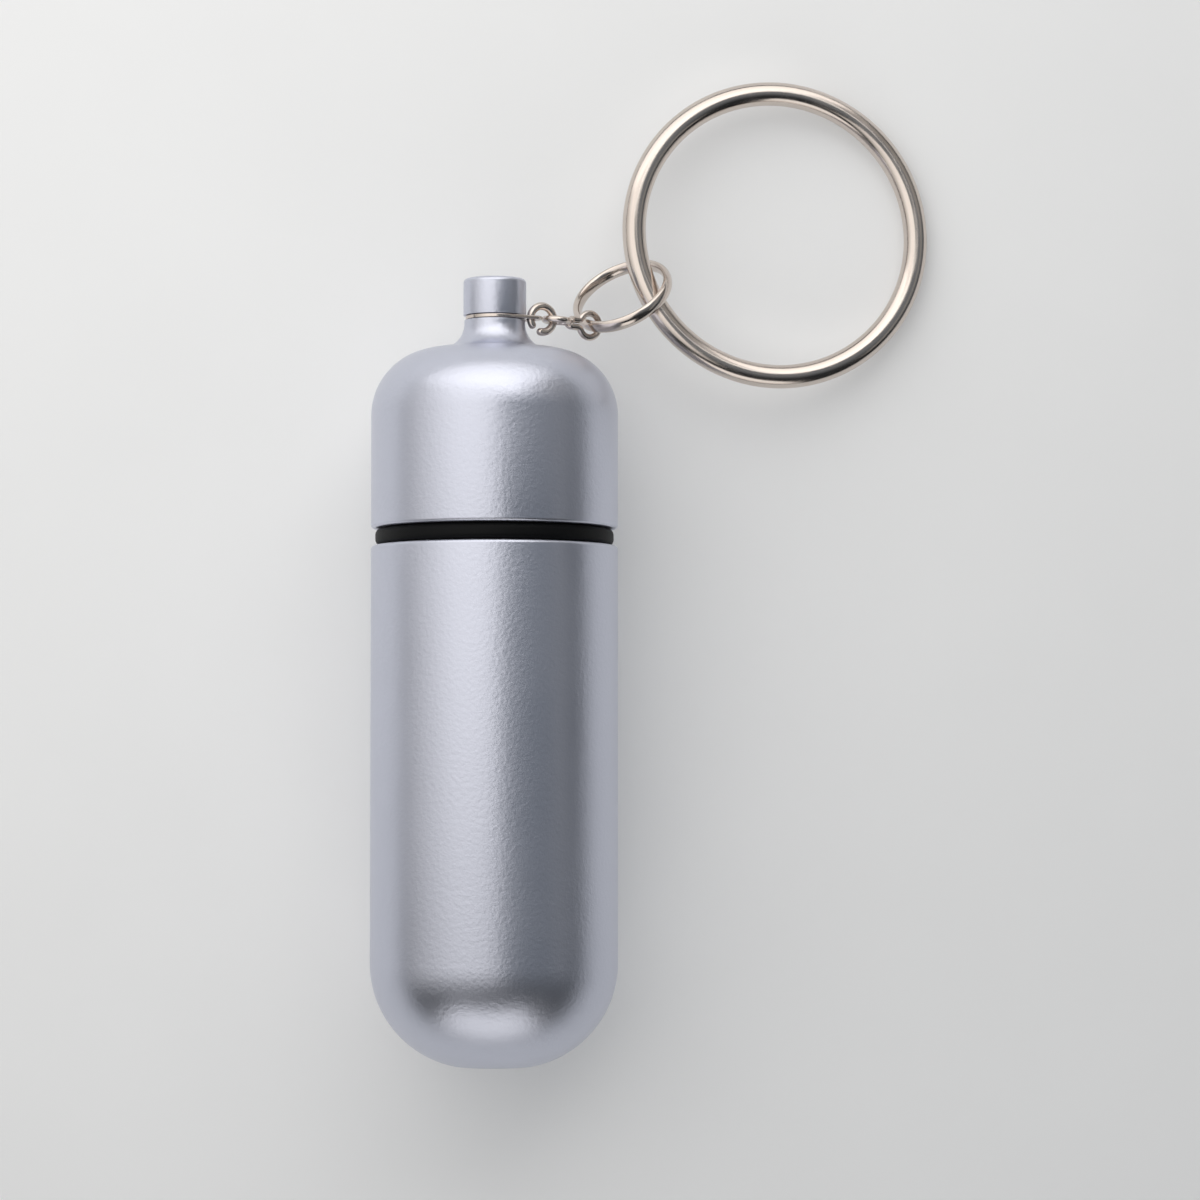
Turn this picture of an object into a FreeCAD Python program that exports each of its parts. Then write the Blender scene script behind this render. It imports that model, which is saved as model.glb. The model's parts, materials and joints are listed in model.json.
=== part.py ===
import FreeCAD, Part
import math
import os

# Pill fob in millimetres: a screw-capped capsule with a swivel tab, a short wire chain and a key ring.
# It lies on its side, as on a table. The capsule's axis runs along +Y from its base to its post,
# the chain lies on the +X side, and +Z is up. While it is built, the base's centre is on the Z axis
# and the table is at zero; at the end everything moves so that the origin is under the middle of the whole.

# Capsule, shared by vial, seal and cap
body_radius = 8.5
rim_round = 0.25
rim_wall = 1.5

# Vial, a turned tube with a rounded base
vial_length = 35.6
vial_wall = 2.0
base_round = 7.2
base_flat_radius = 2.8
mouth_depth = 5.6
mouth_chamfer = 0.3

# Seal ring, squeezed between the two rims
seal_height = 1.2
seal_recess = 0.3
seal_round = 0.45
seal_fit = 0.05

# Cap, with the spigot that screws into the mouth
cap_side = 7.8
dome_round = 4.6
neck_radius = 2.1
neck_flare = 1.8
neck_length = 0.2
spigot_length = 6.0
spigot_wall = 1.2
spigot_chamfer = 0.3
thread_fit = 0.05
thread_depth = 0.4
pilot_length = 0.8
cap_roof = 3.7
bore_corner = 2.0

# Swivel post: a knob, a shoulder through the tab and a shank in the neck
head_lip = 0.07
head_length = 2.55
head_round = 0.3
shoulder_radius = 1.1
shank_radius = 0.8
shank_length = 3.4
shank_fit = 0.02
shank_end_room = 0.2

# Swivel tab, a stamped plate
tab_thickness = 0.25
tab_end_play = 0.04
tab_bore_fit = 0.05
lug_radius = 0.88
eye_reach = 2.47
eye_radius = 0.38

# Tab ring, a small ring of wire that stands a little open at its cut
tab_ring_radius = 0.9
tab_ring_wire = 0.48
tab_ring_drop = 30.0
tab_ring_cut = 0.25
tab_ring_cut_angle = -124.0

# Twisted link, a wire loop with its two eyes a quarter turn apart
link_wire = 0.46
link_eye_radius = 0.84
link_eye_pitch = 2.8
link_flare = 0.3
link_strand_gap = 0.34
link_drop = 36.0
link_yaw = -4.0
link_play = 0.06

# Jump ring, a ring of flattened wire with a cut
jump_ring_radius = 3.4
jump_ring_wire = 0.56
jump_ring_width = 0.94
jump_ring_heading = 27.9
jump_ring_tilt = 52.8
jump_ring_hold_angle = 154.4
jump_ring_cut_angle = -36.0
jump_ring_play = 0.33

# Key ring, a plain ring of thick round wire with a cut
key_ring_radius = 10.15
key_ring_wire = 1.65
key_ring_cut_angle = 188.0
key_ring_play = 0.52
key_ring_heading = 22.0

# Cut where the wire ends of the other pieces meet
wire_cut = 0.08

# Places along the axis and radii that follow from the sizes above
mouth_radius = body_radius - rim_wall
chamber_radius = body_radius - vial_wall
pilot_radius = mouth_radius - thread_fit
spigot_radius = pilot_radius - thread_depth
spigot_bore = spigot_radius - spigot_wall
cap_rim = vial_length + seal_height
dome_start = cap_rim + cap_side
flare_radius = neck_radius + neck_flare
dome_radius = min(dome_round, body_radius - flare_radius)
crown = dome_start + dome_radius
neck_top = crown + neck_flare + neck_length
tab_slot = tab_thickness + 2 * tab_end_play
head_bottom = neck_top + tab_slot
head_top = head_bottom + head_length
head_radius = neck_radius + head_lip

UP = FreeCAD.Vector(0, 0, 1)
ALONG = FreeCAD.Vector(0, 1, 0)
OUTWARD = FreeCAD.Vector(1, 0, 0)
SAME_POINT = 0.000001


def at(radius, along):
    """Point of a turned piece's outline."""
    return FreeCAD.Vector(radius, along, 0)


def line(start, end):
    return Part.LineSegment(start, end).toShape()


def arc(start, middle, end):
    return Part.Arc(start, middle, end).toShape()


def round_corner(start, corner, end):
    """Arc from start to end, tangent there to the lines that meet at the corner."""
    middle = (start + end) * 0.5
    half_turn = math.atan2((corner - middle).Length, (end - middle).Length)
    share = math.tan(half_turn / 2) / math.tan(half_turn)
    return arc(start, middle + (corner - middle) * share, end)


def outline(*steps):
    """Face inside the points; a pair (corner, end) rounds that corner instead of a straight line."""
    edges = []
    start = steps[0]
    place = start
    for step in steps[1:] + (start,):
        if isinstance(step, tuple):
            corner, end = step
            edges.append(round_corner(place, corner, end))
            place = end
        elif not step.isEqual(place, SAME_POINT):
            edges.append(line(place, step))
            place = step
    return Part.Face(Part.Wire(edges))


def turned(face):
    """Solid turned about the capsule's axis, at its height above the table."""
    solid = face.revolve(FreeCAD.Vector(), ALONG, 360)
    solid.translate(UP * body_radius)
    return solid


def make_vial():
    base_middle = body_radius - base_round
    base_lean = math.asin((base_flat_radius - base_middle) / base_round)
    base_start = base_round * math.cos(base_lean)
    base_corner = base_start - base_round * math.tan((math.pi / 2 - base_lean) / 2)
    chamber_floor = base_start - base_round + vial_wall
    chamber_round = min(base_round - vial_wall, chamber_radius)
    mouth_floor = vial_length - mouth_depth
    mouth_step = mouth_radius - chamber_radius
    return turned(outline(
        at(0, chamber_floor),
        at(0, 0),
        at(base_flat_radius, 0),
        (at(body_radius, base_corner), at(body_radius, base_start)),
        at(body_radius, vial_length - rim_round),
        (at(body_radius, vial_length), at(body_radius - rim_round, vial_length)),
        at(mouth_radius + mouth_chamfer, vial_length),
        at(mouth_radius, vial_length - mouth_chamfer),
        at(mouth_radius, mouth_floor),
        at(chamber_radius, mouth_floor - mouth_step),
        at(chamber_radius, chamber_floor + chamber_round),
        (at(chamber_radius, chamber_floor), at(chamber_radius - chamber_round, chamber_floor)),
    ))


def make_seal_ring():
    inner = pilot_radius + seal_fit
    outer = body_radius - seal_recess
    return turned(outline(
        at(inner + seal_round, vial_length),
        at(outer - seal_round, vial_length),
        (at(outer, vial_length), at(outer, vial_length + seal_round)),
        at(outer, cap_rim - seal_round),
        (at(outer, cap_rim), at(outer - seal_round, cap_rim)),
        at(inner + seal_round, cap_rim),
        (at(inner, cap_rim), at(inner, cap_rim - seal_round)),
        at(inner, vial_length + seal_round),
        (at(inner, vial_length), at(inner + seal_round, vial_length)),
    ))


def make_cap():
    spigot_end = cap_rim - spigot_length
    pilot_end = vial_length - pilot_length
    bore_end = crown - cap_roof
    shank_hole = shank_radius + shank_fit
    shank_floor = neck_top - shank_length - shank_end_room
    return turned(outline(
        at(0, bore_end),
        at(0, shank_floor),
        at(shank_hole, shank_floor),
        at(shank_hole, neck_top),
        at(neck_radius, neck_top),
        at(neck_radius, neck_top - neck_length),
        (at(neck_radius, crown), at(flare_radius, crown)),
        at(body_radius - dome_radius, crown),
        (at(body_radius, crown), at(body_radius, dome_start)),
        at(body_radius, cap_rim + rim_round),
        (at(body_radius, cap_rim), at(body_radius - rim_round, cap_rim)),
        at(pilot_radius, cap_rim),
        at(pilot_radius, pilot_end),
        at(spigot_radius, pilot_end - thread_depth),
        at(spigot_radius, spigot_end + spigot_chamfer),
        at(spigot_radius - spigot_chamfer, spigot_end),
        at(spigot_bore, spigot_end),
        at(spigot_bore, bore_end - bore_corner),
        (at(spigot_bore, bore_end), at(spigot_bore - bore_corner, bore_end)),
    ))


def make_swivel_post():
    shank_end = neck_top - shank_length
    return turned(outline(
        at(0, shank_end),
        at(shank_radius, shank_end),
        at(shank_radius, neck_top),
        at(shoulder_radius, neck_top),
        at(shoulder_radius, head_bottom),
        at(head_radius, head_bottom),
        at(head_radius, head_top - head_round),
        (at(head_radius, head_top), at(head_radius - head_round, head_top)),
        at(0, head_top),
    ))


def make_swivel_tab():
    lean = math.acos((neck_radius - lug_radius) / eye_reach)
    across = FreeCAD.Vector(math.cos(lean), 0, math.sin(lean))
    mirrored = FreeCAD.Vector(across.x, 0, -across.z)
    lug = OUTWARD * eye_reach
    edges = [
        line(across * neck_radius, lug + across * lug_radius),
        arc(lug + across * lug_radius, lug + OUTWARD * lug_radius, lug + mirrored * lug_radius),
        line(lug + mirrored * lug_radius, mirrored * neck_radius),
        arc(mirrored * neck_radius, OUTWARD * -neck_radius, across * neck_radius),
    ]
    bore = Part.Wire(Part.makeCircle(shoulder_radius + tab_bore_fit, FreeCAD.Vector(), ALONG))
    eye = Part.Wire(Part.makeCircle(eye_radius, lug, ALONG))
    plate = Part.makeFace([Part.Wire(edges), bore, eye], "Part::FaceMakerBullseye")
    tab = plate.extrude(ALONG * tab_thickness)
    tab.translate(ALONG * (neck_top + tab_end_play) + UP * body_radius)
    return tab


def heading(yaw, drop):
    """Direction at a yaw from +X about +Z, falling by the drop angle."""
    yaw = math.radians(yaw)
    drop = math.radians(drop)
    return FreeCAD.Vector(math.cos(drop) * math.cos(yaw), math.cos(drop) * math.sin(yaw), -math.sin(drop))


def sideways(yaw):
    """Level direction square to a heading with that yaw."""
    return heading(yaw + 90, 0)


def placed(shape, origin, along, across):
    """The shape with its own origin, X and Y laid on the origin and directions given."""
    rotation = FreeCAD.Rotation(along, across, along.cross(across), "XYZ")
    shape.Placement = FreeCAD.Placement(origin, rotation)
    return shape


def round_section(radius, wire):
    """Section of round wire at a ring's radius on the local X."""
    return Part.Face(Part.Wire(Part.makeCircle(wire / 2, OUTWARD * radius, ALONG)))


def flat_section(radius, wire, width):
    """Section of flattened wire at a ring's radius: flat inside and outside, round at both rims."""
    half = wire / 2
    rim = width / 2
    flank = rim - half

    def spot(out, lift):
        return FreeCAD.Vector(radius + out, 0, lift)

    return outline(
        spot(half, -flank),
        spot(half, flank),
        (spot(half, rim), spot(0, rim)),
        (spot(-half, rim), spot(-half, flank)),
        spot(-half, -flank),
        (spot(-half, -rim), spot(0, -rim)),
        (spot(half, -rim), spot(half, -flank)),
    )


def cut_ring(section, radius, cut, cut_angle):
    """Ring that the section sweeps about the local Z, open by the cut."""
    opening = math.degrees(cut / radius)
    section.rotate(FreeCAD.Vector(), UP, cut_angle + opening / 2)
    return section.revolve(FreeCAD.Vector(), UP, 360 - opening)


def make_tab_ring():
    section = round_section(tab_ring_radius, tab_ring_wire)
    return cut_ring(section, tab_ring_radius, tab_ring_cut, tab_ring_cut_angle)


def make_jump_ring():
    section = flat_section(jump_ring_radius, jump_ring_wire, jump_ring_width)
    return cut_ring(section, jump_ring_radius, wire_cut, jump_ring_cut_angle)


def make_key_ring():
    section = round_section(key_ring_radius, key_ring_wire)
    return cut_ring(section, key_ring_radius, wire_cut, key_ring_cut_angle)


def wire_tube(edges, wire):
    """One unbroken tube of round wire along edges that meet end to end."""
    path = Part.Wire(edges)
    first = edges[0]
    start = first.valueAt(first.FirstParameter)
    section = Part.Wire(Part.makeCircle(wire / 2, start, first.tangentAt(first.FirstParameter)))
    return path.makePipeShell([section], True, False)


def s_bend(start, end, way):
    """Two tangent arcs from start to end that leave and arrive along the same way."""
    reach = end - start
    handle = reach.dot(reach) / (4 * reach.dot(way))
    first_corner = start + way * handle
    second_corner = end - way * handle
    middle = (first_corner + second_corner) * 0.5
    return [round_corner(start, first_corner, middle), round_corner(middle, second_corner, end)]


def make_twisted_link():
    """Wire loop along local X: an eye about Y, two strands that turn a quarter, an eye about Z."""
    strand = (link_wire + link_strand_gap) / 2
    flare_along = math.sqrt((link_eye_radius + link_flare) ** 2 - (strand + link_flare) ** 2)
    eye_share = link_eye_radius / (link_eye_radius + link_flare)
    touch_along = flare_along * eye_share
    touch_across = (strand + link_flare) * eye_share
    lean = math.atan2(strand + link_flare, flare_along)
    flare_corner = flare_along - link_flare * math.tan((math.pi / 2 - lean) / 2)

    def near(along, across):
        return FreeCAD.Vector(along, 0, across)

    def far(along, across):
        return FreeCAD.Vector(link_eye_pitch - along, across, 0)

    cut_turn = lean + wire_cut / link_eye_radius
    cut_end = near(link_eye_radius * math.cos(cut_turn), link_eye_radius * math.sin(cut_turn))
    edges = [
        arc(cut_end, near(-link_eye_radius, 0), near(touch_along, -touch_across)),
        round_corner(near(touch_along, -touch_across), near(flare_corner, -strand),
                     near(flare_along, -strand)),
        *s_bend(near(flare_along, -strand), far(flare_along, -strand), OUTWARD),
        round_corner(far(flare_along, -strand), far(flare_corner, -strand), far(touch_along, -touch_across)),
        arc(far(touch_along, -touch_across), far(-link_eye_radius, 0), far(touch_along, touch_across)),
        round_corner(far(touch_along, touch_across), far(flare_corner, strand), far(flare_along, strand)),
        *s_bend(far(flare_along, strand), near(flare_along, strand), OUTWARD * -1),
        round_corner(near(flare_along, strand), near(flare_corner, strand), near(touch_along, touch_across)),
    ]
    return wire_tube(edges, link_wire)


# The chain, from the tab's eye to the key ring: each piece hangs in the one before it
tab_eye = FreeCAD.Vector(eye_reach, neck_top + tab_end_play + tab_thickness / 2, body_radius)

tab_ring_way = heading(0, tab_ring_drop)
tab_ring_side = sideways(0)
tab_ring_middle = tab_eye + tab_ring_way * tab_ring_radius
tab_ring_end = tab_ring_middle + tab_ring_way * tab_ring_radius

link_way = heading(link_yaw, link_drop)
link_side = sideways(link_yaw)
link_start = tab_ring_end - link_way * ((tab_ring_wire + link_wire) / 2 + link_play)
link_near_eye = link_start + link_way * link_eye_radius
link_end = link_near_eye + link_way * (link_eye_pitch + link_eye_radius)

jump_ring_way = heading(jump_ring_heading, 0)
jump_ring_rise = heading(jump_ring_heading - 90, -jump_ring_tilt)
jump_ring_hold = link_end - link_way * ((link_wire + jump_ring_wire) / 2 + jump_ring_play)
hold_turn = math.radians(jump_ring_hold_angle)
hold_spoke = jump_ring_way * math.cos(hold_turn) + jump_ring_rise * math.sin(hold_turn)
jump_ring_middle = jump_ring_hold - hold_spoke * jump_ring_radius

key_ring_hold = jump_ring_middle + jump_ring_way * (
    jump_ring_radius - (jump_ring_wire + key_ring_wire) / 2 - key_ring_play)

# The key ring leans from where it is held down to the table
key_ring_lean = math.degrees(math.asin((key_ring_hold.z - key_ring_wire / 2) / (2 * key_ring_radius)))
key_ring_way = heading(key_ring_heading, key_ring_lean)
key_ring_side = sideways(key_ring_heading)
key_ring_middle = key_ring_hold + key_ring_way * key_ring_radius

solids = {
    "vial": make_vial(),
    "seal_ring": make_seal_ring(),
    "cap": make_cap(),
    "swivel_post": make_swivel_post(),
    "swivel_tab": make_swivel_tab(),
    "tab_ring": placed(make_tab_ring(), tab_ring_middle, tab_ring_way, tab_ring_side),
    "twisted_link": placed(make_twisted_link(), link_near_eye, link_way, link_side),
    "jump_ring": placed(make_jump_ring(), jump_ring_middle, jump_ring_way, jump_ring_rise),
    "key_ring": placed(make_key_ring(), key_ring_middle, key_ring_way, key_ring_side),
}

# The origin is under the middle of the whole object, on the table
box = Part.makeCompound(list(solids.values())).optimalBoundingBox()
shift = FreeCAD.Vector(-box.Center.x, -box.Center.y, -box.ZMin)
pivots = {
    "capsule axis": UP * body_radius + shift,
    "tab eye": tab_eye + shift,
    "tab ring end": tab_ring_end + shift,
    "link eye": jump_ring_hold + shift,
    "key ring hold": key_ring_hold + shift,
}

os.makedirs("parts", exist_ok=True)
for name, solid in solids.items():
    solid.translate(shift)
    solid.exportStep("parts/" + name + ".step")
    print(name, solid.ShapeType, solid.isValid(), len(solid.Solids), round(solid.Volume, 2))
for name, place in pivots.items():
    print(name, [round(value, 4) for value in place])
print("box", round(box.XLength, 3), round(box.YLength, 3), round(box.ZLength, 3))
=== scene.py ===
import json
import math
import bmesh
import bpy
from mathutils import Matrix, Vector


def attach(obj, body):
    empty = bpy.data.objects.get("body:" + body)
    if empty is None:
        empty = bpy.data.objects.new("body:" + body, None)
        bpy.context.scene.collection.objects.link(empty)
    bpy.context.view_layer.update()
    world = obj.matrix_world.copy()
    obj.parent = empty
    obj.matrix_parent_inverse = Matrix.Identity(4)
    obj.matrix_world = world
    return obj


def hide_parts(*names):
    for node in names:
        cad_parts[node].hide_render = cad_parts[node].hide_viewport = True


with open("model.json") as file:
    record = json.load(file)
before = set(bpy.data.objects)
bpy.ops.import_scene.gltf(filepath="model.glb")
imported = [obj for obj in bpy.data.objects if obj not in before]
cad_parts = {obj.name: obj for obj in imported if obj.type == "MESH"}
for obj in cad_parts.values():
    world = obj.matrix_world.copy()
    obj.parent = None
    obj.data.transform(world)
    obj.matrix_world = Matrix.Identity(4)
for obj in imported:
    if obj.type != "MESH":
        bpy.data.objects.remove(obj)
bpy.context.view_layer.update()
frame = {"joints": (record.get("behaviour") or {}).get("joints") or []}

# Vial: the lower part of the capsule, a tube turned from aluminium bar, closed and rounded at its base
# and bored out for the pills. It is blasted with fine glass beads and clear anodised, outside and in,
# and a coarse thread is cut in its mouth for the cap.
MM = 0.001
TURNED_SIDES = 192
ARC_STEPS = 24
FULL_TURN = 2 * math.pi
SHARP_EDGE = math.radians(20)
joints = {joint["name"]: joint for joint in frame["joints"]}
base_centre = Vector(joints["cap_turn"]["pos_m"])

# Sizes are in millimetres, and distances along the capsule are measured from its base.
body_radius = 8.5
rim_round = 0.25
vial_length = 35.6
mouth_radius = 7.0
mouth_depth = 5.6
mouth_chamfer = 0.3
chamber_radius = 6.5
base_round = 7.2
base_round_radius = body_radius - base_round
base_flat_radius = 2.8
base_lean = math.degrees(math.asin((base_flat_radius - base_round_radius) / base_round))
base_round_start = base_round * math.cos(math.radians(base_lean))
chamber_round = base_round - (body_radius - chamber_radius)
thread_pitch = 1.25
thread_flank = 0.34
thread_crest = 0.22
thread_fade_degrees = 60.0
thread_root_overlap = 0.04
thread_end_share = 0.04
mouth_thread_height = 0.34
mouth_thread_low = 30.75
mouth_thread_turns = 2.9


def round_points(radius, along, bend, start, end, steps=10):
    """Arc of an outline about (radius, along); 0 degrees points outward and 90 towards the post."""
    turns = [math.radians(start + (end - start) * step / steps) for step in range(steps + 1)]
    return [(radius + bend * math.cos(turn), along + bend * math.sin(turn)) for turn in turns]


def new_piece(name, mesh):
    """Object in the scene with smooth faces and hard edges only at real corners."""
    data = bpy.data.meshes.new(name)
    mesh.to_mesh(data)
    mesh.free()
    data.shade_smooth()
    data.set_sharp_from_angle(angle=SHARP_EDGE)
    piece = bpy.data.objects.new(name, data)
    bpy.context.scene.collection.objects.link(piece)
    return piece


def bridge(mesh, first, second):
    """Faces between two rings of points; a ring of one point closes the end."""
    sides = max(len(first), len(second))
    for side in range(sides):
        after = (side + 1) % sides
        corners = [first[side % len(first)], first[after % len(first)],
                   second[after % len(second)], second[side % len(second)]]
        mesh.faces.new(list(dict.fromkeys(corners)))


def turned(name, outline, closed=False):
    """Piece turned about the capsule's axis from (radius, distance from the base) points in millimetres."""
    mesh = bmesh.new()
    rings = []
    for radius, along in outline:
        sides = TURNED_SIDES if radius > 0 else 1
        turns = [FULL_TURN * side / sides for side in range(sides)]
        rings.append([mesh.verts.new(Vector((radius * math.sin(turn), along, radius * math.cos(turn))) * MM)
                      for turn in turns])
    for first, second in zip(rings, rings[1:]):
        bridge(mesh, first, second)
    if closed:
        bridge(mesh, rings[-1], rings[0])
    bmesh.ops.recalc_face_normals(mesh, faces=mesh.faces)
    piece = new_piece(name, mesh)
    piece.location = base_centre
    return piece


def helical_ridge(name, root, crest, low, turns, phase):
    """Right-handed thread ridge about the capsule's axis, fading in and out; its phase is in degrees."""
    mesh = bmesh.new()
    steps = round(turns * TURNED_SIDES / 2)
    fade = thread_fade_degrees / 360
    rings = []
    for step in range(steps + 1):
        turn = turns * step / steps
        height = min(1, turn / fade, (turns - turn) / fade)
        top = root + (crest - root) * height
        half_crest = thread_crest / 2
        half_root = half_crest + thread_flank * max(height, thread_end_share)
        section = [(root, -half_root), (top, -half_crest), (top, half_crest), (root, half_root)]
        angle = FULL_TURN * turn + math.radians(phase)
        middle = low + thread_pitch * turn
        rings.append([mesh.verts.new(Vector((r * math.sin(angle), middle + rise, r * math.cos(angle))) * MM)
                      for r, rise in section])
    for first, second in zip(rings, rings[1:]):
        bridge(mesh, first, second)
    mesh.faces.new(rings[0])
    mesh.faces.new(rings[-1])
    bmesh.ops.recalc_face_normals(mesh, faces=mesh.faces)
    piece = new_piece(name, mesh)
    piece.location = base_centre
    return piece


def colour(code):
    """Linear colour of an sRGB hex value."""
    shares = [int(code[place:place + 2], 16) / 255 for place in (1, 3, 5)]
    linear = [share / 12.92 if share <= 0.04045 else ((share + 0.055) / 1.055) ** 2.4 for share in shares]
    return (*linear, 1.0)


def add_node(tree, kind, inputs, **settings):
    """Adds a shader node with its settings; an input is given a value, or a socket to be linked to."""
    node = tree.nodes.new("ShaderNode" + kind)
    for name, value in settings.items():
        setattr(node, name, value)
    for name, value in inputs.items():
        if isinstance(value, bpy.types.NodeSocket):
            tree.links.new(value, node.inputs[name])
        else:
            node.inputs[name].default_value = value
    return node


def new_material(name):
    """Material with only an output; returns it, its node tree and its surface socket."""
    material = bpy.data.materials.new(name)
    material.use_nodes = True
    material.node_tree.nodes.clear()
    output = material.node_tree.nodes.new("ShaderNodeOutputMaterial")
    return material, material.node_tree, output.inputs["Surface"]


def blasted_anodised_aluminium():
    """Bead-blasted, clear anodised aluminium: cool grey metal with a soft sheen.

    The beads leave shallow dimples, which break up the edge of each broad reflection into fine grain.
    Dimples and grit are drawn about three times as coarse as real ones, so that they show at this size.
    """
    dimple_mm = 0.3
    dimple_depth_mm = 0.018
    grit_mm = 0.12
    grit_depth_mm = 0.003
    cloud_mm = 9.0
    cloud_low, cloud_high = 0.3, 0.7
    smoothest, dullest = 0.34, 0.4
    material, tree, surface = new_material("blasted_anodised_aluminium")
    place = add_node(tree, "TexCoord", {}).outputs["Object"]
    dimples = add_node(tree, "TexNoise", {"Vector": place, "Scale": 1 / (dimple_mm * MM), "Detail": 2.0})
    grit = add_node(tree, "TexNoise", {"Vector": place, "Scale": 1 / (grit_mm * MM), "Detail": 1.0})
    clouds = add_node(tree, "TexNoise", {"Vector": place, "Scale": 1 / (cloud_mm * MM), "Detail": 3.0})
    blasted = add_node(tree, "Bump", {"Height": dimples.outputs["Fac"], "Distance": dimple_depth_mm * MM})
    skin = add_node(tree, "Bump", {"Height": grit.outputs["Fac"], "Distance": grit_depth_mm * MM,
                                   "Normal": blasted.outputs["Normal"]})
    tone = add_node(tree, "MixRGB", {"Fac": clouds.outputs["Fac"], "Color1": colour("#C9CCD9"),
                                     "Color2": colour("#D1D4E1")})
    gloss = add_node(tree, "MapRange", {"Value": clouds.outputs["Fac"], "From Min": cloud_low,
                                        "From Max": cloud_high, "To Min": smoothest, "To Max": dullest})
    metal = add_node(tree, "BsdfPrincipled", {"Base Color": tone.outputs["Color"], "Metallic": 1.0,
                                              "Roughness": gloss.outputs["Result"],
                                              "Normal": skin.outputs["Normal"]})
    tree.links.new(metal.outputs["BSDF"], surface)
    return material


def fit(piece, material, body, slot, *nodes):
    """Gives a piece its finish and the body it moves with, and hides the CAD nodes that it stands for. The
    slot is not used.
    """
    piece.data.materials.append(material)
    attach(piece, body)
    if nodes:
        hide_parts(*nodes)


aluminium = blasted_anodised_aluminium()
chamber_floor = base_round_start - chamber_round
mouth_floor = vial_length - mouth_depth
vial = turned("vial_body", [
    (0, chamber_floor),
    *round_points(base_round_radius, base_round_start, chamber_round, -90, 0),
    (chamber_radius, mouth_floor - (mouth_radius - chamber_radius)),
    (mouth_radius, mouth_floor),
    (mouth_radius, vial_length - mouth_chamfer),
    (mouth_radius + mouth_chamfer, vial_length),
    *round_points(body_radius - rim_round, vial_length - rim_round, rim_round, 90, 0),
    *round_points(base_round_radius, base_round_start, base_round, 0, base_lean - 90, ARC_STEPS),
    (0, 0),
])
fit(vial, aluminium, "vial", "satin_aluminium", "vial")
mouth_thread = helical_ridge("vial_mouth_thread", mouth_radius + thread_root_overlap,
                             mouth_radius - mouth_thread_height, mouth_thread_low, mouth_thread_turns, 0)
fit(mouth_thread, aluminium, "vial", "satin_aluminium")

# Seal ring: a moulded ring of black rubber that sits on the cap's spigot and is squeezed between the rims.
# It is set back a little from the capsule's side, so that it reads as a dark groove.
seal_height = 1.2
seal_inner = 7.0
seal_recess = 0.3
seal_outer = body_radius - seal_recess
seal_round = 0.45
cap_rim = vial_length + seal_height


def moulded_black_rubber():
    """Moulded nitrile rubber: near-black and dull, with a fine matt skin left by the mould.

    The skin's grain is drawn coarser than the real one, so that it shows at this size.
    """
    skin_mm = 0.2
    skin_depth_mm = 0.006
    bloom_mm = 3.0
    smoothest, dullest = 0.5, 0.65
    material, tree, surface = new_material("moulded_black_rubber")
    place = add_node(tree, "TexCoord", {}).outputs["Object"]
    skin = add_node(tree, "TexNoise", {"Vector": place, "Scale": 1 / (skin_mm * MM), "Detail": 3.0})
    bloom = add_node(tree, "TexNoise", {"Vector": place, "Scale": 1 / (bloom_mm * MM), "Detail": 2.0})
    tone = add_node(tree, "MixRGB", {"Fac": bloom.outputs["Fac"], "Color1": colour("#060708"),
                                     "Color2": colour("#0D0E10")})
    gloss = add_node(tree, "MapRange", {"Value": bloom.outputs["Fac"], "To Min": smoothest,
                                        "To Max": dullest})
    grain = add_node(tree, "Bump", {"Height": skin.outputs["Fac"], "Distance": skin_depth_mm * MM})
    rubber = add_node(tree, "BsdfPrincipled", {"Base Color": tone.outputs["Color"],
                                               "Roughness": gloss.outputs["Result"],
                                               "Specular IOR Level": 0.15,
                                               "Normal": grain.outputs["Normal"]})
    tree.links.new(rubber.outputs["BSDF"], surface)
    return material


seal_low = vial_length + seal_round
seal_high = cap_rim - seal_round
seal = turned("seal_ring_rubber", [
    *round_points(seal_outer - seal_round, seal_low, seal_round, -90, 0),
    *round_points(seal_outer - seal_round, seal_high, seal_round, 0, 90),
    *round_points(seal_inner + seal_round, seal_high, seal_round, 90, 180),
    *round_points(seal_inner + seal_round, seal_low, seal_round, 180, 270),
], closed=True)
fit(seal, moulded_black_rubber(), "seal", "seal_rubber", "seal_ring")

# Cap: turned from the same bar, with a domed top that flares up into a short neck.
# Below its rim a hollow spigot carries the thread that screws into the vial's mouth.
cap_side = 7.8
dome_round = 4.6
dome_start = cap_rim + cap_side
crown = dome_start + dome_round
neck_radius = 2.1
neck_flare = 1.8
neck_flare_steps = 16
neck_length = 0.2
neck_top = crown + neck_flare + neck_length
seam_edge = 0.02
seam_edge_steps = 4
spigot_radius = 6.55
spigot_bore = 5.35
spigot_length = 6.0
spigot_end = cap_rim - spigot_length
spigot_chamfer = 0.3
pilot_radius = 6.95
pilot_length = 0.8
pilot_end = vial_length - pilot_length
cap_roof = 3.7
bore_end = crown - cap_roof
bore_corner = 2.0
shank_hole = 0.82
shank_hole_depth = 3.6
shank_hole_floor = neck_top - shank_hole_depth
spigot_thread_height = 0.33
spigot_thread_low = 31.5
spigot_thread_turns = 2.2

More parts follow.
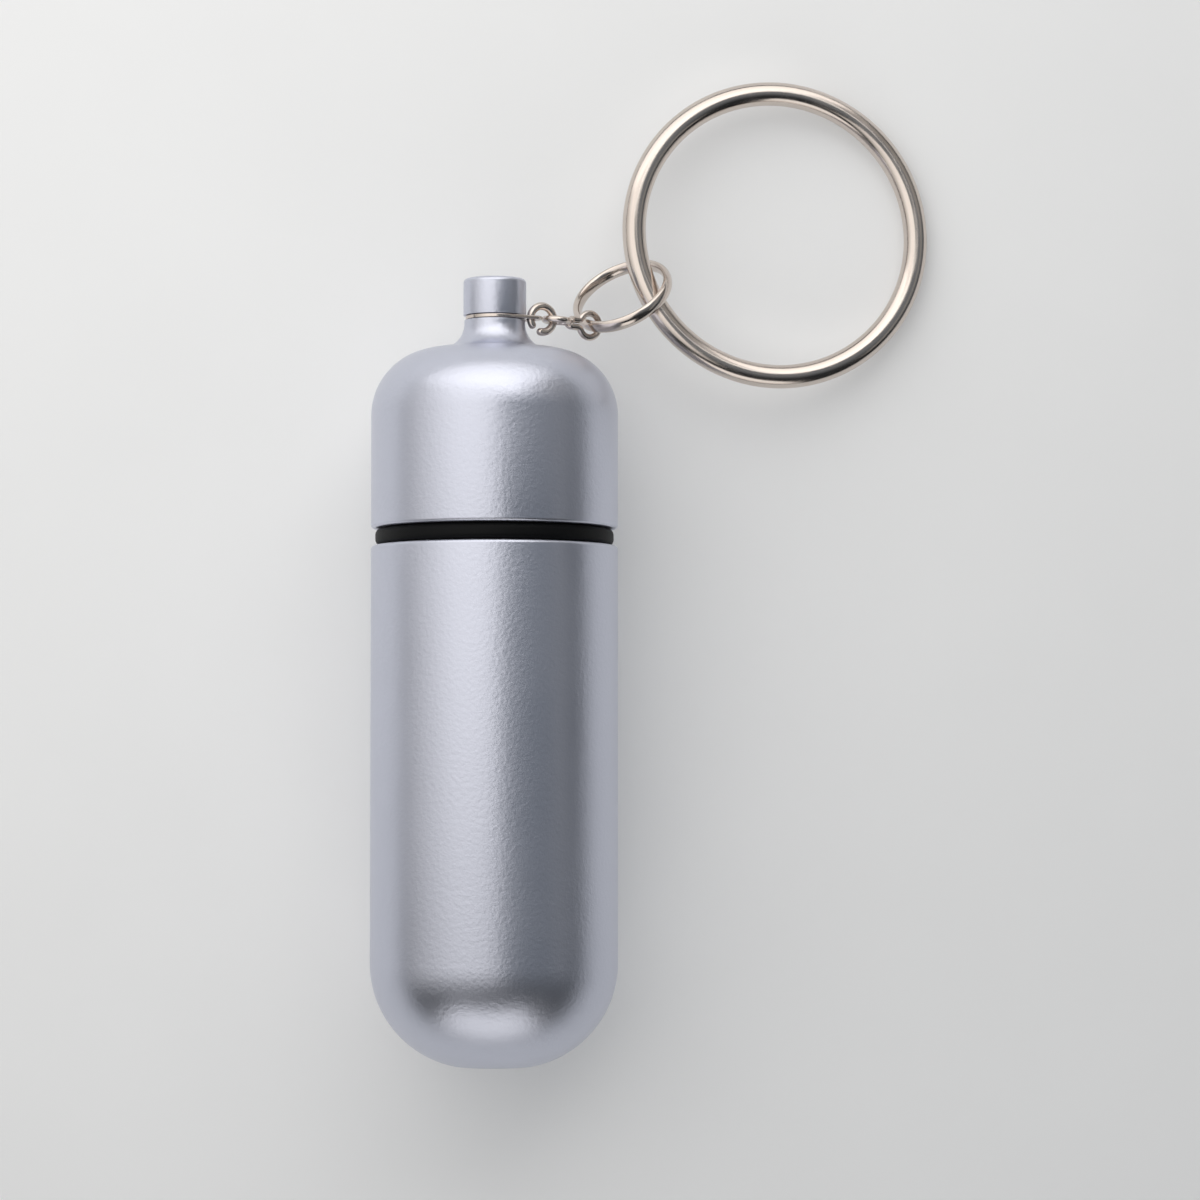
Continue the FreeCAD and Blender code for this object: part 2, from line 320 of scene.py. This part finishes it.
cap = turned("cap_body", [
    (0, bore_end),
    *round_points(spigot_bore - bore_corner, bore_end - bore_corner, bore_corner, 90, 0),
    (spigot_bore, spigot_end),
    (spigot_radius - spigot_chamfer, spigot_end),
    (spigot_radius, spigot_end + spigot_chamfer),
    (spigot_radius, pilot_end - (pilot_radius - spigot_radius)),
    (pilot_radius, pilot_end),
    (pilot_radius, cap_rim),
    *round_points(body_radius - rim_round, cap_rim + rim_round, rim_round, -90, 0),
    *round_points(body_radius - dome_round, dome_start, dome_round, 0, 90, ARC_STEPS),
    *round_points(neck_radius + neck_flare, crown + neck_flare, neck_flare, 270, 180, neck_flare_steps)[1:],
    *round_points(neck_radius - seam_edge, neck_top - seam_edge, seam_edge, 0, 90, seam_edge_steps),
    (shank_hole, neck_top),
    (shank_hole, shank_hole_floor),
    (0, shank_hole_floor),
])
fit(cap, aluminium, "cap", "satin_aluminium", "cap")
half_pitch_phase = 360 * (spigot_thread_low - mouth_thread_low) / thread_pitch + 180
spigot_thread = helical_ridge("cap_spigot_thread", spigot_radius - thread_root_overlap,
                              spigot_radius + spigot_thread_height, spigot_thread_low, spigot_thread_turns,
                              half_pitch_phase)
fit(spigot_thread, aluminium, "cap", "satin_aluminium")

# Swivel post: a knob turned in one with a shoulder, which the tab turns on, and a shank, which is pressed
# into the neck. Its top edge is broken with a small round, and its lower edge is nearly sharp.
shank_radius = 0.8
shank_length = 3.4
shank_end = neck_top - shank_length
shoulder_radius = 1.1
head_radius = 2.17
tab_slot = 0.33
head_bottom = neck_top + tab_slot
head_length = 2.55
head_top = head_bottom + head_length
head_round = 0.3

post = turned("swivel_post_knob", [
    (0, shank_end),
    (shank_radius, shank_end),
    (shank_radius, neck_top),
    (shoulder_radius, neck_top),
    (shoulder_radius, head_bottom),
    *round_points(head_radius - seam_edge, head_bottom + seam_edge, seam_edge, -90, 0, seam_edge_steps),
    *round_points(head_radius - head_round, head_top - head_round, head_round, 0, 90),
    (0, head_top),
])
fit(post, aluminium, "cap", "satin_aluminium", "swivel_post")

# Swivel tab: a thin plate stamped from nickel-plated steel, round on the post and drawn out to a lug.
# It is trapped between the neck and the knob and turns freely; its eye holds the first ring of the chain.
tab_thickness = 0.25
tab_offset = 0.08
lug_edge = 0.12
disc_edge = 0.03
tab_bore = 1.15
lug_radius = 0.84
eye_reach = 2.47
eye_radius = 0.38
tab_end_play = 0.04
disc_steps = 96
bore_steps = 64
lug_steps = 48


def polished_nickel_plate():
    """Polished nickel plate on drawn steel wire: a warm mirror with faint lines along the wire.

    The lines are left by the drawing die, and the plate softens them; handling adds a dull bloom in places.
    They are drawn coarser than real ones, so that they show at this size.
    """
    line_mm = 0.09
    line_length_mm = 7.0
    line_depth_mm = 0.0012
    bloom_mm = 2.2
    bloom_low, bloom_high = 0.35, 0.7
    smoothest, dullest = 0.16, 0.24
    material, tree, surface = new_material("polished_nickel_plate")
    place = add_node(tree, "TexCoord", {})
    stretch = add_node(tree, "Mapping", {"Vector": place.outputs["UV"],
                                         "Scale": (1 / line_length_mm, 1 / line_mm, 1.0)})
    lines = add_node(tree, "TexNoise", {"Vector": stretch.outputs["Vector"], "Scale": 1.0, "Detail": 2.0})
    bloom = add_node(tree, "TexNoise", {"Vector": place.outputs["Object"], "Scale": 1 / (bloom_mm * MM),
                                        "Detail": 3.0})
    drawn = add_node(tree, "Bump", {"Height": lines.outputs["Fac"], "Distance": line_depth_mm * MM})
    tone = add_node(tree, "MixRGB", {"Fac": bloom.outputs["Fac"], "Color1": colour("#CFC4BC"),
                                     "Color2": colour("#D9CFC7")})
    gloss = add_node(tree, "MapRange", {"Value": bloom.outputs["Fac"], "From Min": bloom_low,
                                        "From Max": bloom_high, "To Min": smoothest, "To Max": dullest})
    metal = add_node(tree, "BsdfPrincipled", {"Base Color": tone.outputs["Color"], "Metallic": 1.0,
                                              "Roughness": gloss.outputs["Result"],
                                              "Normal": drawn.outputs["Normal"]})
    tree.links.new(metal.outputs["BSDF"], surface)
    return material


def circle_points(across, radius, start, end, steps, edge):
    """Outline points on a circle that lies this far out from the post, each with the round of its edges.

    Angles are in radians from the lug. The round goes from its first value on the far side to its second
    value at the lug.
    """
    points = []
    for step in range(steps):
        turn = start + (end - start) * step / steps
        towards_lug = ((1 + math.cos(turn)) / 2) ** 2
        points.append((across + radius * math.cos(turn), radius * math.sin(turn),
                       edge[0] + (edge[1] - edge[0]) * towards_lug))
    return points


def stamped_plate(name, rim, holes, thickness):
    """Flat plate across the post with holes; its edges are tumbled round.

    An outline's points are (distance towards the lug, distance aside, round of the edges) in millimetres.
    """
    mesh = bmesh.new()
    corner_steps = 6
    corner = [FULL_TURN / 4 * step / corner_steps for step in range(corner_steps + 1)]
    levels = [(-turn, 0) for turn in reversed(corner)] + [(turn, 1) for turn in corner]
    ends = ([], [])
    for outline, sign in [(rim, 1)] + [(hole, -1) for hole in holes]:
        rings = [[] for _ in levels]
        neighbours = zip(outline[-1:] + outline[:-1], outline[1:] + outline[:1])
        for (towards, aside, edge), (before, after) in zip(outline, neighbours):
            run = Vector((after[0] - before[0], 0, after[1] - before[1])).normalized()
            outward = Vector((run.z, 0, -run.x)) * sign
            for ring, (turn, upper) in zip(rings, levels):
                height = thickness * upper + edge * (math.sin(turn) + 1 - 2 * upper)
                place = Vector((towards, height, aside)) - outward * edge * (1 - math.cos(turn))
                ring.append(mesh.verts.new(place * MM))
        for first, second in zip(rings, rings[1:]):
            bridge(mesh, first, second)
        for end, ring in zip(ends, (rings[0], rings[-1])):
            end.extend(mesh.edges.get(pair) for pair in zip(ring, ring[1:] + ring[:1]))
    for end in ends:
        bmesh.ops.triangle_fill(mesh, use_beauty=True, edges=end)
    bmesh.ops.recalc_face_normals(mesh, faces=mesh.faces)
    return new_piece(name, mesh)


nickel = polished_nickel_plate()
lug_lean = math.acos((neck_radius - lug_radius) / (eye_reach - tab_offset))
tab_rim = (circle_points(tab_offset, neck_radius, lug_lean, FULL_TURN - lug_lean, disc_steps,
                         (disc_edge, lug_edge))
           + circle_points(eye_reach, lug_radius, -lug_lean, lug_lean, lug_steps, (lug_edge, lug_edge)))
tab_holes = [circle_points(0, tab_bore, 0, FULL_TURN, bore_steps, (disc_edge, disc_edge)),
             circle_points(eye_reach, eye_radius, 0, FULL_TURN, lug_steps, (lug_edge, lug_edge))]
tab = stamped_plate("swivel_tab_plate", tab_rim, tab_holes, tab_thickness)
tab.location = base_centre + Vector((0, neck_top + tab_end_play, 0)) * MM
fit(tab, nickel, "tab", "nickel_plate", "swivel_tab")

# Tab ring: the first ring of the chain, bent from thin nickel-plated wire and hung through the tab's eye.
# It stands a little open at its cut, and the two wire ends there are tumbled round.
WIRE_SIDES = 40
RING_STEPS = 240
END_STEPS = 4
end_turns = [FULL_TURN / 4 * step / END_STEPS for step in range(END_STEPS)]
ROUND_END = [(math.sin(turn), math.cos(turn)) for turn in end_turns]
SNIPPED_END = ((0.0, 0.03), (0.9, 0.03), (0.97, 0.02))
tab_ring_wire = 0.54
tab_ring_cut = 0.25
tab_ring_cut_at = -124.0


def wire(name, path, width, height, upright, ends):
    """Drawn wire along a path in metres, flattened where its height along upright is more than its width.

    Its ends are given as (share of the section, share of the half width beyond the path) pairs.
    """
    mesh = bmesh.new()
    layer = mesh.loops.layers.uv.new("along_and_around_mm")
    tangents = [(after - before).normalized()
                for before, after in zip(path[:1] + path[:-1], path[1:] + path[-1:])]
    stations = [(path[0], tangents[0], -outward, share) for share, outward in ends]
    stations += [(place, tangent, 0.0, 1.0) for place, tangent in zip(path, tangents)]
    stations += [(path[-1], tangents[-1], outward, share) for share, outward in reversed(ends)]
    girth = math.pi * (width + height) / 2
    places = {}
    rings = []
    normal = upright
    travelled = 0.0
    last = path[0]
    for place, tangent, outward, share in stations:
        normal = (normal - tangent * normal.dot(tangent)).normalized()
        across = tangent.cross(normal)
        middle = place + tangent * (outward * width / 2 * MM)
        travelled += (place - last).length / MM
        last = place
        sides = WIRE_SIDES if share else 1
        ring = []
        for side in range(sides):
            turn = FULL_TURN * side / sides
            spoke = across * (width / 2 * math.cos(turn)) + normal * (height / 2 * math.sin(turn))
            ring.append(mesh.verts.new(middle + spoke * (share * MM)))
            places[ring[-1]] = (travelled, girth * side / sides)
        rings.append(ring)
    for first, second in zip(rings, rings[1:]):
        bridge(mesh, first, second)
    for face in mesh.faces:
        seam = max(places[loop.vert][1] for loop in face.loops) > girth / 2
        for loop in face.loops:
            along, around = places[loop.vert]
            loop[layer].uv = (along, around + (girth if seam and around == 0 else 0))
    bmesh.ops.recalc_face_normals(mesh, faces=mesh.faces)
    return new_piece(name, mesh)


def ring_path(middle, way, rise, radius, start, end, steps):
    """Points on a circle; angles in degrees run from the way direction towards rise."""
    turns = [math.radians(start + (end - start) * step / steps) for step in range(steps + 1)]
    return [middle + (way * math.cos(turn) + rise * math.sin(turn)) * radius for turn in turns]


def cut_ring(name, middle, way, rise, radius, width, height, cut, cut_at, ends):
    """Ring of wire, sizes in millimetres, open by a cut at an angle in degrees from the way direction."""
    opening = math.degrees(cut / radius)
    path = ring_path(middle, way, rise, radius * MM, cut_at + opening / 2, cut_at - opening / 2 + 360,
                     RING_STEPS)
    return wire(name, path, width, height, way.cross(rise), ends)


tab_eye = Vector(joints["tab_ring_swing"]["pos_m"])
tab_ring_end = Vector(joints["link_swing"]["pos_m"])
tab_ring_way = (tab_ring_end - tab_eye).normalized()
tab_ring_radius = (tab_ring_end - tab_eye).length / 2 / MM
tab_ring = cut_ring("tab_ring_wire", (tab_eye + tab_ring_end) / 2, tab_ring_way,
                    -Vector(joints["link_swing"]["axis"]), tab_ring_radius, tab_ring_wire, tab_ring_wire,
                    tab_ring_cut + tab_ring_wire, tab_ring_cut_at, ROUND_END)
fit(tab_ring, nickel, "tab_ring", "nickel_plate", "tab_ring")

# Twisted link: one length of nickel-plated wire bent into two small eyes a quarter turn apart,
# with its two strands lying side by side between them. The cut is beside the first eye.
link_wire = 0.46
link_eye_radius = 0.84
link_eye_pitch = 2.8
link_flare = 0.3
link_strand_gap = 0.04
link_twist_share = 0.35
link_play = 0.06
link_cut = 0.08
link_eye_steps = 48
link_flare_steps = 8
link_strand_steps = 16


def twisted_link_path(origin, along, side):
    """Points from the cut round the first eye, along one strand, round the second eye and back."""
    up = along.cross(side)
    strand = (link_wire + link_strand_gap) / 2
    spread = strand + link_flare
    flare_along = math.sqrt((link_eye_radius + link_flare) ** 2 - spread ** 2)
    lean = math.atan2(spread, flare_along)
    cut = link_cut / link_eye_radius
    strand_length = link_eye_pitch - 2 * flare_along

    def near(distance, across):
        return origin + (along * distance + up * across) * MM

    def far(distance, across):
        return origin + (along * (link_eye_pitch - distance) + side * across) * MM

    def eye(end, start, finish):
        turns = [start + (finish - start) * step / link_eye_steps for step in range(link_eye_steps + 1)]
        return [end(link_eye_radius * math.cos(turn), link_eye_radius * math.sin(turn)) for turn in turns]

    def flare(end, sign):
        turns = [lean + (FULL_TURN / 4 - lean) * step / link_flare_steps
                 for step in range(1, link_flare_steps)]
        return [end(flare_along - link_flare * math.cos(turn), sign * (spread - link_flare * math.sin(turn)))
                for turn in turns]

    def strands(sign):
        points = []
        for step in range(link_strand_steps + 1):
            share = step / link_strand_steps
            twist = min(1, share / link_twist_share)
            turn = FULL_TURN / 4 * twist * twist * (3 - 2 * twist)
            points.append(origin + (along * (flare_along + strand_length * share)
                                    + (up * math.cos(turn) + side * math.sin(turn)) * (sign * strand)) * MM)
        return points

    return (eye(near, lean + cut, FULL_TURN - lean) + flare(near, -1) + strands(-1)
            + flare(far, -1)[::-1] + eye(far, FULL_TURN - lean, lean) + flare(far, 1)
            + strands(1)[::-1] + flare(near, 1)[::-1])


link_hold = Vector(joints["jump_ring_swing"]["pos_m"])
link_way = (link_hold - tab_ring_end).normalized()
link_side = Vector(joints["jump_ring_swing"]["axis"])
link_eye_inset = link_eye_radius - (tab_ring_wire + link_wire) / 2 - link_play
link_near_eye = tab_ring_end + link_way * link_eye_inset * MM
link = wire("twisted_link_wire", twisted_link_path(link_near_eye, link_way, link_side),
            link_wire, link_wire, link_side, SNIPPED_END)
fit(link, nickel, "link", "nickel_plate", "twisted_link")

# Jump ring: a ring of flattened nickel-plated wire that joins the twisted link to the key ring.
# It stands on its edge, leaning, and its cut is turned towards the key ring.
jump_ring_radius = 3.4
jump_ring_wire = 0.56
jump_ring_width = 0.94
jump_ring_heading = math.radians(27.9)
jump_ring_tilt = math.radians(52.8)
wire_cut = 0.08
jump_ring_cut_at = -36.0
key_ring_wire = 1.65
key_ring_play = 0.52


def heading(yaw, drop):
    """Direction at a yaw from +X about +Z, falling by the drop angle."""
    return Vector((math.cos(drop) * math.cos(yaw), math.cos(drop) * math.sin(yaw), -math.sin(drop)))


key_ring_hold = Vector(joints["key_ring_swing"]["pos_m"])
jump_ring_way = heading(jump_ring_heading, 0)
jump_ring_rise = heading(jump_ring_heading - FULL_TURN / 4, -jump_ring_tilt)
hold_reach = jump_ring_radius - (jump_ring_wire + key_ring_wire) / 2 - key_ring_play
jump_ring = cut_ring("jump_ring_wire", key_ring_hold - jump_ring_way * hold_reach * MM, jump_ring_way,
                     jump_ring_rise, jump_ring_radius, jump_ring_wire, jump_ring_width, wire_cut,
                     jump_ring_cut_at, SNIPPED_END)
fit(jump_ring, nickel, "jump_ring", "nickel_plate", "jump_ring")

# Key ring: a plain ring of thick nickel-plated spring wire whose ends meet edge to edge.
# It hangs in the jump ring and leans from there down to the table.
key_ring_radius = 10.15
key_ring_cut_at = 188.0

key_ring_side = -Vector(joints["key_ring_swing"]["axis"])
key_ring_yaw = math.atan2(-key_ring_side.x, key_ring_side.y)
hold_height = key_ring_hold.z / MM - key_ring_wire / 2
key_ring_way = heading(key_ring_yaw, math.asin(hold_height / (2 * key_ring_radius)))
key_ring = cut_ring("key_ring_wire", key_ring_hold + key_ring_way * key_ring_radius * MM, key_ring_way,
                    key_ring_side, key_ring_radius, key_ring_wire, key_ring_wire, wire_cut, key_ring_cut_at,
                    SNIPPED_END)
fit(key_ring, nickel, "key_ring", "nickel_plate", "key_ring")

# Table and light: a plain pale table top, and a curved diffuser overhead to the left, which ends just right
# of the capsule's middle. Upright diffusers stand beyond the post, before the base and on the right.
# The room round them is dim, and darkest near the horizon and before the base.
floor_half_mm = 1500.0
overhead_reach_mm = 145.0
overhead_right = math.radians(6.5)
overhead_left = math.radians(-84.0)
overhead_low_mm = -46.0
overhead_high_mm = 152.0
overhead_steps = 24
beyond_places_mm = [(-290, 40), (-220, 150), (-90, 166), (120, 166)]
beyond_low_mm = 25.0
beyond_high_mm = 200.0
beyond_top_mm = 235.0
beyond_overhang_mm = 60.0
far_right_places_mm = [(125, 166), (230, 100)]
before_places_mm = [(-175, -235), (115, -235)]
before_low_mm = 22.0
before_high_mm = 190.0
right_places_mm = [(170, -70), (170, 110)]
right_low_mm = 80.0
right_high_mm = 115.0


def matt_table_paint():
    """Matt pale paint: an even light grey with a trace of roller mottle.

    It glows faintly towards the eye and in reflections only, so that it reads as a pale studio ground.
    """
    mottle_mm = 14.0
    ground_glow = 0.22
    material, tree, surface = new_material("matt_pale_table_paint")
    place = add_node(tree, "TexCoord", {}).outputs["Object"]
    mottle = add_node(tree, "TexNoise", {"Vector": place, "Scale": 1 / (mottle_mm * MM), "Detail": 4.0})
    tone = add_node(tree, "MixRGB", {"Fac": mottle.outputs["Fac"], "Color1": colour("#DFE0E1"),
                                     "Color2": colour("#E3E4E5")})
    rays = add_node(tree, "LightPath", {})
    seen = add_node(tree, "Math", {0: rays.outputs["Is Camera Ray"], 1: rays.outputs["Is Glossy Ray"]},
                    operation="ADD")
    shown = add_node(tree, "Math", {0: seen.outputs["Value"], 1: rays.outputs["Is Transmission Ray"]},
                     operation="ADD")
    glow = add_node(tree, "Math", {0: shown.outputs["Value"], 1: ground_glow}, operation="MULTIPLY")
    paint = add_node(tree, "BsdfPrincipled", {"Base Color": tone.outputs["Color"], "Roughness": 0.85,
                                              "Specular IOR Level": 0.2,
                                              "Emission Color": tone.outputs["Color"],
                                              "Emission Strength": glow.outputs["Value"]})
    tree.links.new(paint.outputs["BSDF"], surface)
    return material


def lit_diffuser(name, glow, left_glow, low_glow):
    """White cloth lit from behind; its glow fades to these shares towards its left and its lower end."""
    left_fade_from = 0.45
    low_fade_to = 0.5
    material, tree, surface = new_material(name)
    place = add_node(tree, "TexCoord", {}).outputs["UV"]
    split = add_node(tree, "SeparateXYZ", {"Vector": place})
    across = add_node(tree, "MapRange", {"Value": split.outputs["X"], "From Min": left_fade_from,
                                         "From Max": 1.0, "To Min": glow, "To Max": glow * left_glow})
    along = add_node(tree, "MapRange", {"Value": split.outputs["Y"], "From Min": 0.0,
                                        "From Max": low_fade_to, "To Min": low_glow, "To Max": 1.0})
    strength = add_node(tree, "Math", {0: across.outputs["Result"], 1: along.outputs["Result"]},
                        operation="MULTIPLY")
    light = add_node(tree, "Emission", {"Color": colour("#FFFDFA"), "Strength": strength.outputs["Value"]})
    tree.links.new(light.outputs["Emission"], surface)
    return material


def staged_sheet(name, rows, material):
    """Sheet of the stage through rows of points in millimetres, with a UV map from 0 to 1 both ways."""
    mesh = bmesh.new()
    layer = mesh.loops.layers.uv.new("shares")
    grid = [[mesh.verts.new(Vector(point) * MM) for point in row] for row in rows]
    for low in range(len(grid) - 1):
        for left in range(len(grid[0]) - 1):
            corners = [(low, left), (low, left + 1), (low + 1, left + 1), (low + 1, left)]
            face = mesh.faces.new([grid[row][place] for row, place in corners])
            for loop, (row, place) in zip(face.loops, corners):
                loop[layer].uv = (place / (len(grid[0]) - 1), row / (len(grid) - 1))
    sheet = new_piece(name, mesh)
    sheet.data.materials.append(material)
    return sheet


def diffuser(name, rows, glow, left_glow, low_glow):
    """Lit sheet that the camera looks past."""
    sheet = staged_sheet(name, rows, lit_diffuser(name + "_cloth", glow, left_glow, low_glow))
    sheet.visible_camera = False


def upright(places, low, high):
    """Rows of an upright sheet over places on the table, between two heights."""
    return [[(*place, height) for place in places] for height in (low, high)]


def dim_studio_room():
    """Surroundings with a faint cool glow, darkest near the horizon and before the base."""
    room_glow = 0.27
    dark_glow = 0.03
    dark_to = 0.06
    lit_from = 0.34
    near_dark_to = -0.45
    near_share = 0.12
    world = bpy.data.worlds.new("dim_studio_room")
    world.use_nodes = True
    tree = world.node_tree
    direction = add_node(tree, "TexCoord", {}).outputs["Generated"]
    split = add_node(tree, "SeparateXYZ", {"Vector": direction})
    room = add_node(tree, "MapRange", {"Value": split.outputs["Z"], "From Min": dark_to,
                                       "From Max": lit_from, "To Min": dark_glow, "To Max": room_glow})
    near = add_node(tree, "MapRange", {"Value": split.outputs["Y"], "From Min": near_dark_to,
                                       "From Max": 0.0, "To Min": near_share, "To Max": 1.0})
    glow = add_node(tree, "Math", {0: room.outputs["Result"], 1: near.outputs["Result"]},
                    operation="MULTIPLY")
    background = tree.nodes["Background"]
    background.inputs["Color"].default_value = colour("#DCE6F0")
    tree.links.new(glow.outputs["Value"], background.inputs["Strength"])
    return world


table_corners = [[(side * floor_half_mm, end * floor_half_mm, 0) for side in (-1, 1)] for end in (-1, 1)]
staged_sheet("table_top", table_corners, matt_table_paint())

base_on_table = Vector((base_centre.x, base_centre.y, 0)) / MM
axis_height = base_centre.z / MM
overhead_turns = [overhead_right + (overhead_left - overhead_right) * step / overhead_steps
                  for step in range(overhead_steps + 1)]
diffuser("overhead_diffuser", [
    [(base_on_table.x + overhead_reach_mm * math.sin(turn), base_on_table.y + along,
      axis_height + overhead_reach_mm * math.cos(turn)) for turn in overhead_turns]
    for along in (overhead_low_mm, overhead_high_mm)
], glow=1.34, left_glow=0.42, low_glow=0.42)
beyond_top = [(across, along - beyond_overhang_mm, beyond_top_mm) for across, along in beyond_places_mm]
diffuser("diffuser_beyond", [*upright(beyond_places_mm, beyond_low_mm, beyond_high_mm), beyond_top],
         glow=2.0, left_glow=1.0, low_glow=0.7)
diffuser("diffuser_far_right", upright(far_right_places_mm, beyond_low_mm, beyond_high_mm),
         glow=0.35, left_glow=1.0, low_glow=0.5)
diffuser("diffuser_before", upright(before_places_mm, before_low_mm, before_high_mm),
         glow=1.22, left_glow=1.0, low_glow=0.72)
diffuser("diffuser_right", upright(right_places_mm, right_low_mm, right_high_mm),
         glow=0.35, left_glow=1.0, low_glow=1.0)

bpy.context.scene.world = dim_studio_room()

# Camera: nearly straight above, a little towards the base, as the photograph was taken.
# Its place and the point that it looks at are measured from the capsule's base.
camera_from_base_mm = Vector((7.26, 19.1, 279.2))
target_from_base_mm = Vector((7.26, 31.9, 8.5))
camera_angle = math.radians(17.32)
camera_near_mm = 10.0

camera_place = base_on_table + camera_from_base_mm
camera_target = base_on_table + target_from_base_mm
camera_data = bpy.data.cameras.new("camera")
camera_data.angle = camera_angle
camera_data.clip_start = camera_near_mm * MM
camera = bpy.data.objects.new("camera", camera_data)
camera.location = camera_place * MM
camera.rotation_euler = (camera_target - camera_place).to_track_quat("-Z", "Y").to_euler()
bpy.context.scene.collection.objects.link(camera)
bpy.context.scene.camera = camera
bpy.context.scene.view_settings.view_transform = "Standard"
